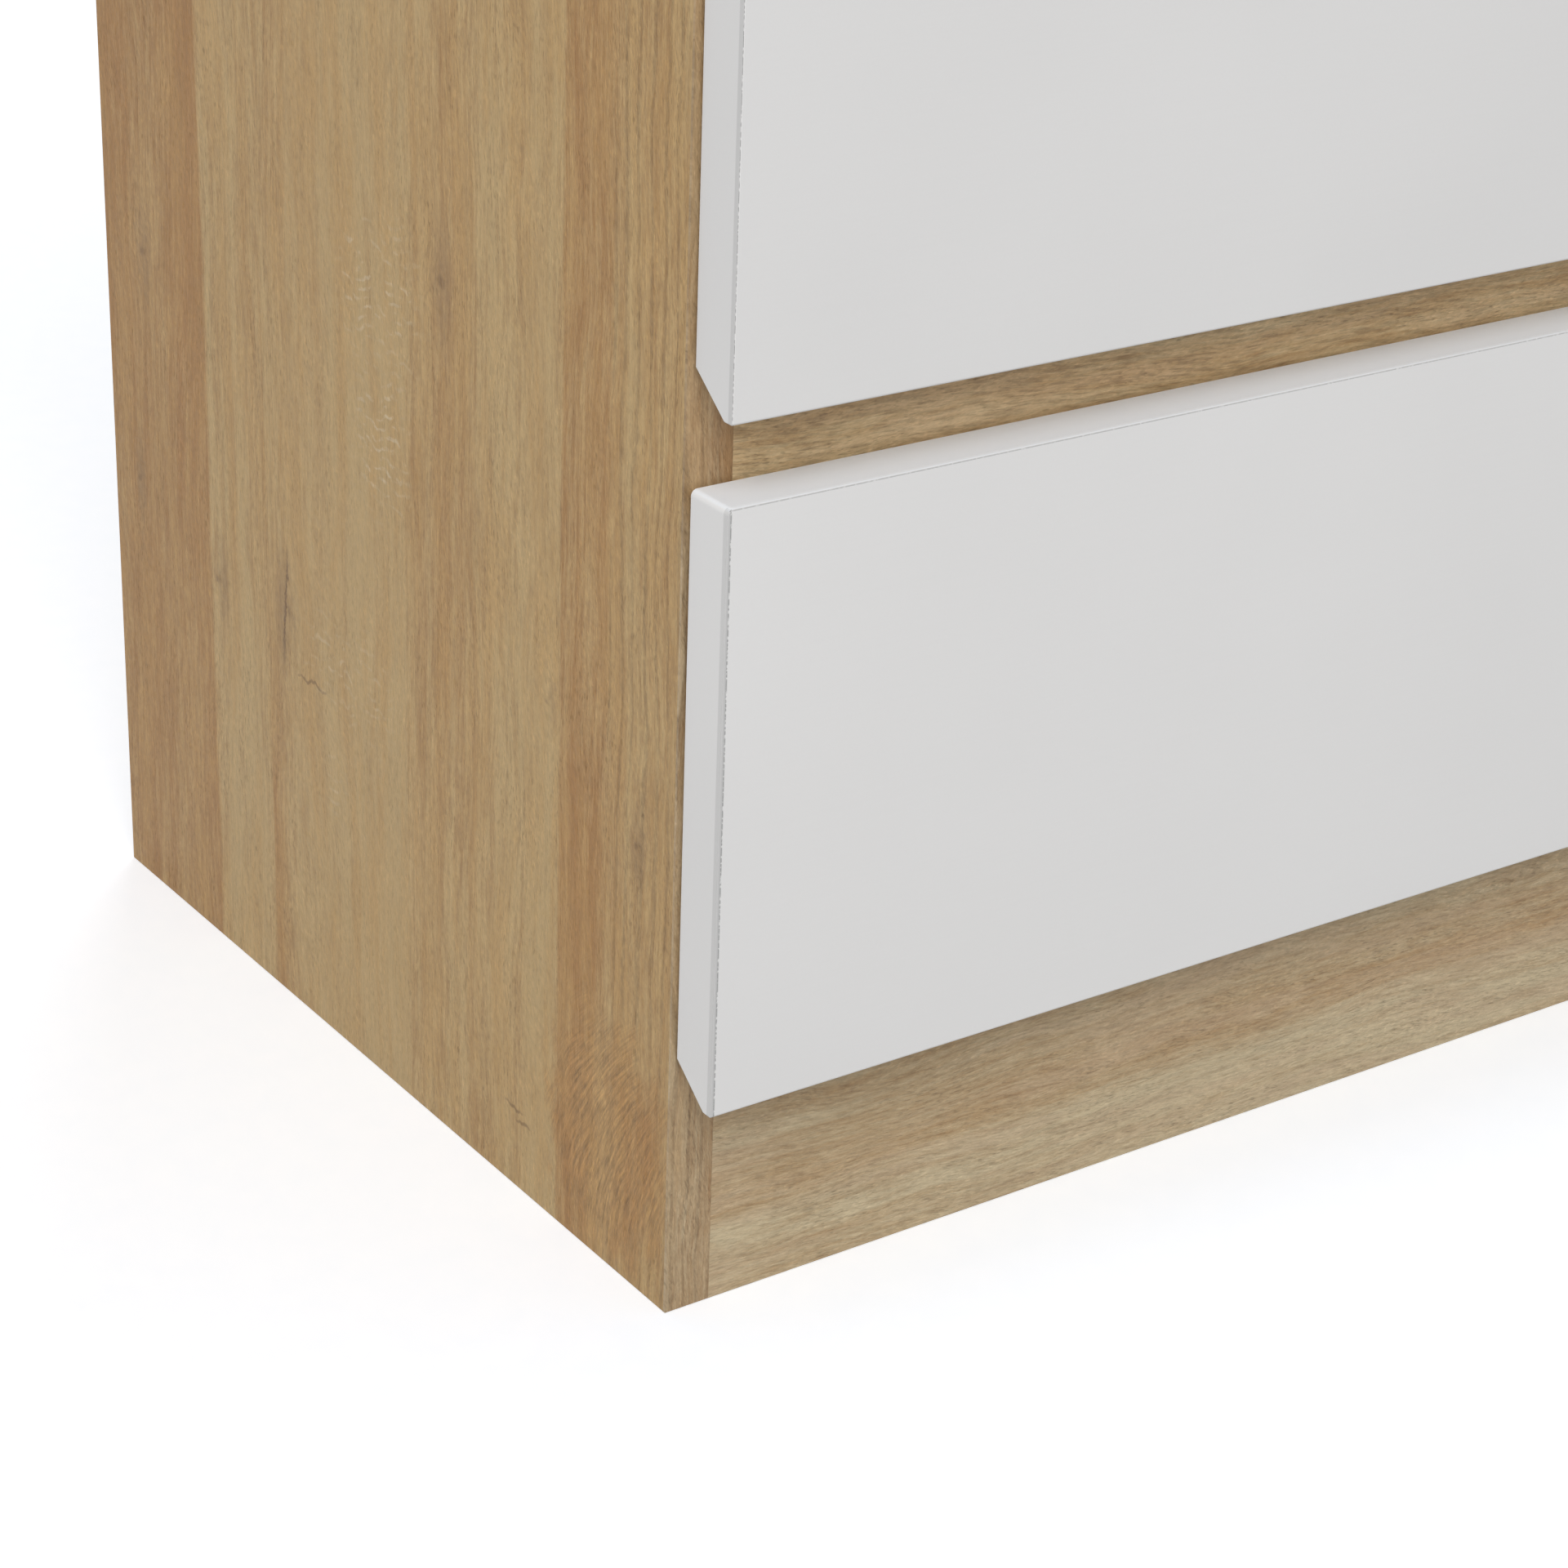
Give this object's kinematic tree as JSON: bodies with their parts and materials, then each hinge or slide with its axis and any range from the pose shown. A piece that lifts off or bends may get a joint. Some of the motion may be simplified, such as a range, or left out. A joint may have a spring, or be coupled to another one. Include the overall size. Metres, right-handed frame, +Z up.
{
  "type": "vessel sink on vanity",
  "caption": "Oak-faced bathroom vanity with handle-less white drawers, carrying an oval vessel basin, a tall mixer tap and a bottle trap.",
  "frame": {"origin": "on the floor under the centre of the benchtop", "axes": "+Z up, +Y towards the wall behind, -Y out of the drawer fronts, +X to the right seen from the front"},
  "size_m": [0.9, 0.4, 1.035],
  "materials": {
    "oak_laminate": "oak-grain laminate with a fine embossed pore, matt",
    "carcass_board": "plain oak-toned laminated board",
    "back_board": "thin lacquered fibreboard",
    "white_front": "white satin foil over fibreboard",
    "drawer_board": "light grey melamine-faced board",
    "zinc_steel": "zinc-plated steel",
    "beech": "fluted beech dowel",
    "clear_rubber": "translucent soft dot",
    "black_rubber": "black sealing rubber",
    "glazed_ceramic": "gloss white glaze",
    "chrome": "polished chrome plate",
    "brass": "plain turned brass",
    "white_plastic": "moulded white polypropylene"
  },
  "bodies": {
    "cabinet": {"back_panels": "back_board", "back_rail_bottom": "carcass_board", "back_rail_top": "carcass_board", "basin": "glazed_ceramic", "basin_seals": "black_rubber", "benchtop": "oak_laminate", "bottom_panel": "carcass_board", "bumpers": "clear_rubber", "cabinet_screws": "zinc_steel", "cam_bolts": "zinc_steel", "cam_locks": "zinc_steel", "dowels": "beech", "edge_bands": "oak_laminate", "front_rail_lower": "oak_laminate", "front_rail_top": "oak_laminate", "front_rail_upper": "oak_laminate", "plinth_board": "oak_laminate", "runner_cabinet_members": "zinc_steel", "side_panel_left": "oak_laminate", "side_panel_right": "oak_laminate", "tap_aerator": "chrome", "tap_base_ring": "chrome", "tap_body": "chrome", "tap_fixing": "brass", "top_brackets": "zinc_steel", "trap_bottle": "white_plastic", "trap_cup": "white_plastic", "trap_dip_tube": "white_plastic", "trap_nuts": "white_plastic", "trap_outlet_pipe": "white_plastic", "waste_body": "chrome", "waste_nut": "white_plastic"},
    "drawer_lower": {"drawer_lower_bottom": "drawer_board", "drawer_lower_ends": "drawer_board", "drawer_lower_screws": "zinc_steel", "drawer_lower_sides": "drawer_board", "front_lower": "white_front", "runner_drawer_members_lower": "zinc_steel"},
    "runner_lower": {"runner_middle_members_lower": "zinc_steel"},
    "drawer_middle": {"drawer_middle_bottom": "drawer_board", "drawer_middle_ends": "drawer_board", "drawer_middle_screws": "zinc_steel", "drawer_middle_sides": "drawer_board", "front_middle": "white_front", "runner_drawer_members_middle": "zinc_steel"},
    "runner_middle": {"runner_middle_members_middle": "zinc_steel"},
    "drawer_top": {"drawer_top_bottom": "drawer_board", "drawer_top_ends": "drawer_board", "drawer_top_screws": "zinc_steel", "drawer_top_sides": "drawer_board", "drawer_top_well_walls": "drawer_board", "front_top": "white_front", "runner_drawer_members_top": "zinc_steel"},
    "runner_top": {"runner_middle_members_top": "zinc_steel"},
    "waste_plug": {"waste_plug": "chrome"},
    "tap_mixer": {"tap_cartridge": "zinc_steel"},
    "tap_lever": {"tap_lever": "chrome"}
  },
  "joints": [
    {"name": "drawer_lower_slide", "type": "slide", "parent": "cabinet", "child": "drawer_lower", "axis": [0, -1, 0], "range_m": [0, 0.33]},
    {"name": "runner_lower_slide", "type": "slide", "parent": "cabinet", "child": "runner_lower", "axis": [0, -1, 0], "range_m": [0, 0.165]},
    {"name": "drawer_middle_slide", "type": "slide", "parent": "cabinet", "child": "drawer_middle", "axis": [0, -1, 0], "range_m": [0, 0.33]},
    {"name": "runner_middle_slide", "type": "slide", "parent": "cabinet", "child": "runner_middle", "axis": [0, -1, 0], "range_m": [0, 0.165]},
    {"name": "drawer_top_slide", "type": "slide", "parent": "cabinet", "child": "drawer_top", "axis": [0, -1, 0], "range_m": [0, 0.33]},
    {"name": "runner_top_slide", "type": "slide", "parent": "cabinet", "child": "runner_top", "axis": [0, -1, 0], "range_m": [0, 0.165]},
    {"name": "waste_plug_lift", "type": "slide", "parent": "cabinet", "child": "waste_plug", "axis": [0, 0, 1], "range_m": [0, 0.01]},
    {"name": "tap_temperature", "type": "hinge", "parent": "cabinet", "child": "tap_mixer", "pos_m": [0, 0.165, 1.002], "axis": [0, 0, 1], "range_deg": [-45, 45]},
    {"name": "tap_flow", "type": "hinge", "parent": "tap_mixer", "child": "tap_lever", "pos_m": [0, 0.165, 1.002], "axis": [-1, 0, 0], "range_deg": [0, 25]}
  ],
  "couplings": [
    {"joint": "runner_lower_slide", "follows": "drawer_lower_slide", "ratio": 0.5},
    {"joint": "runner_middle_slide", "follows": "drawer_middle_slide", "ratio": 0.5},
    {"joint": "runner_top_slide", "follows": "drawer_top_slide", "ratio": 0.5}
  ]
}
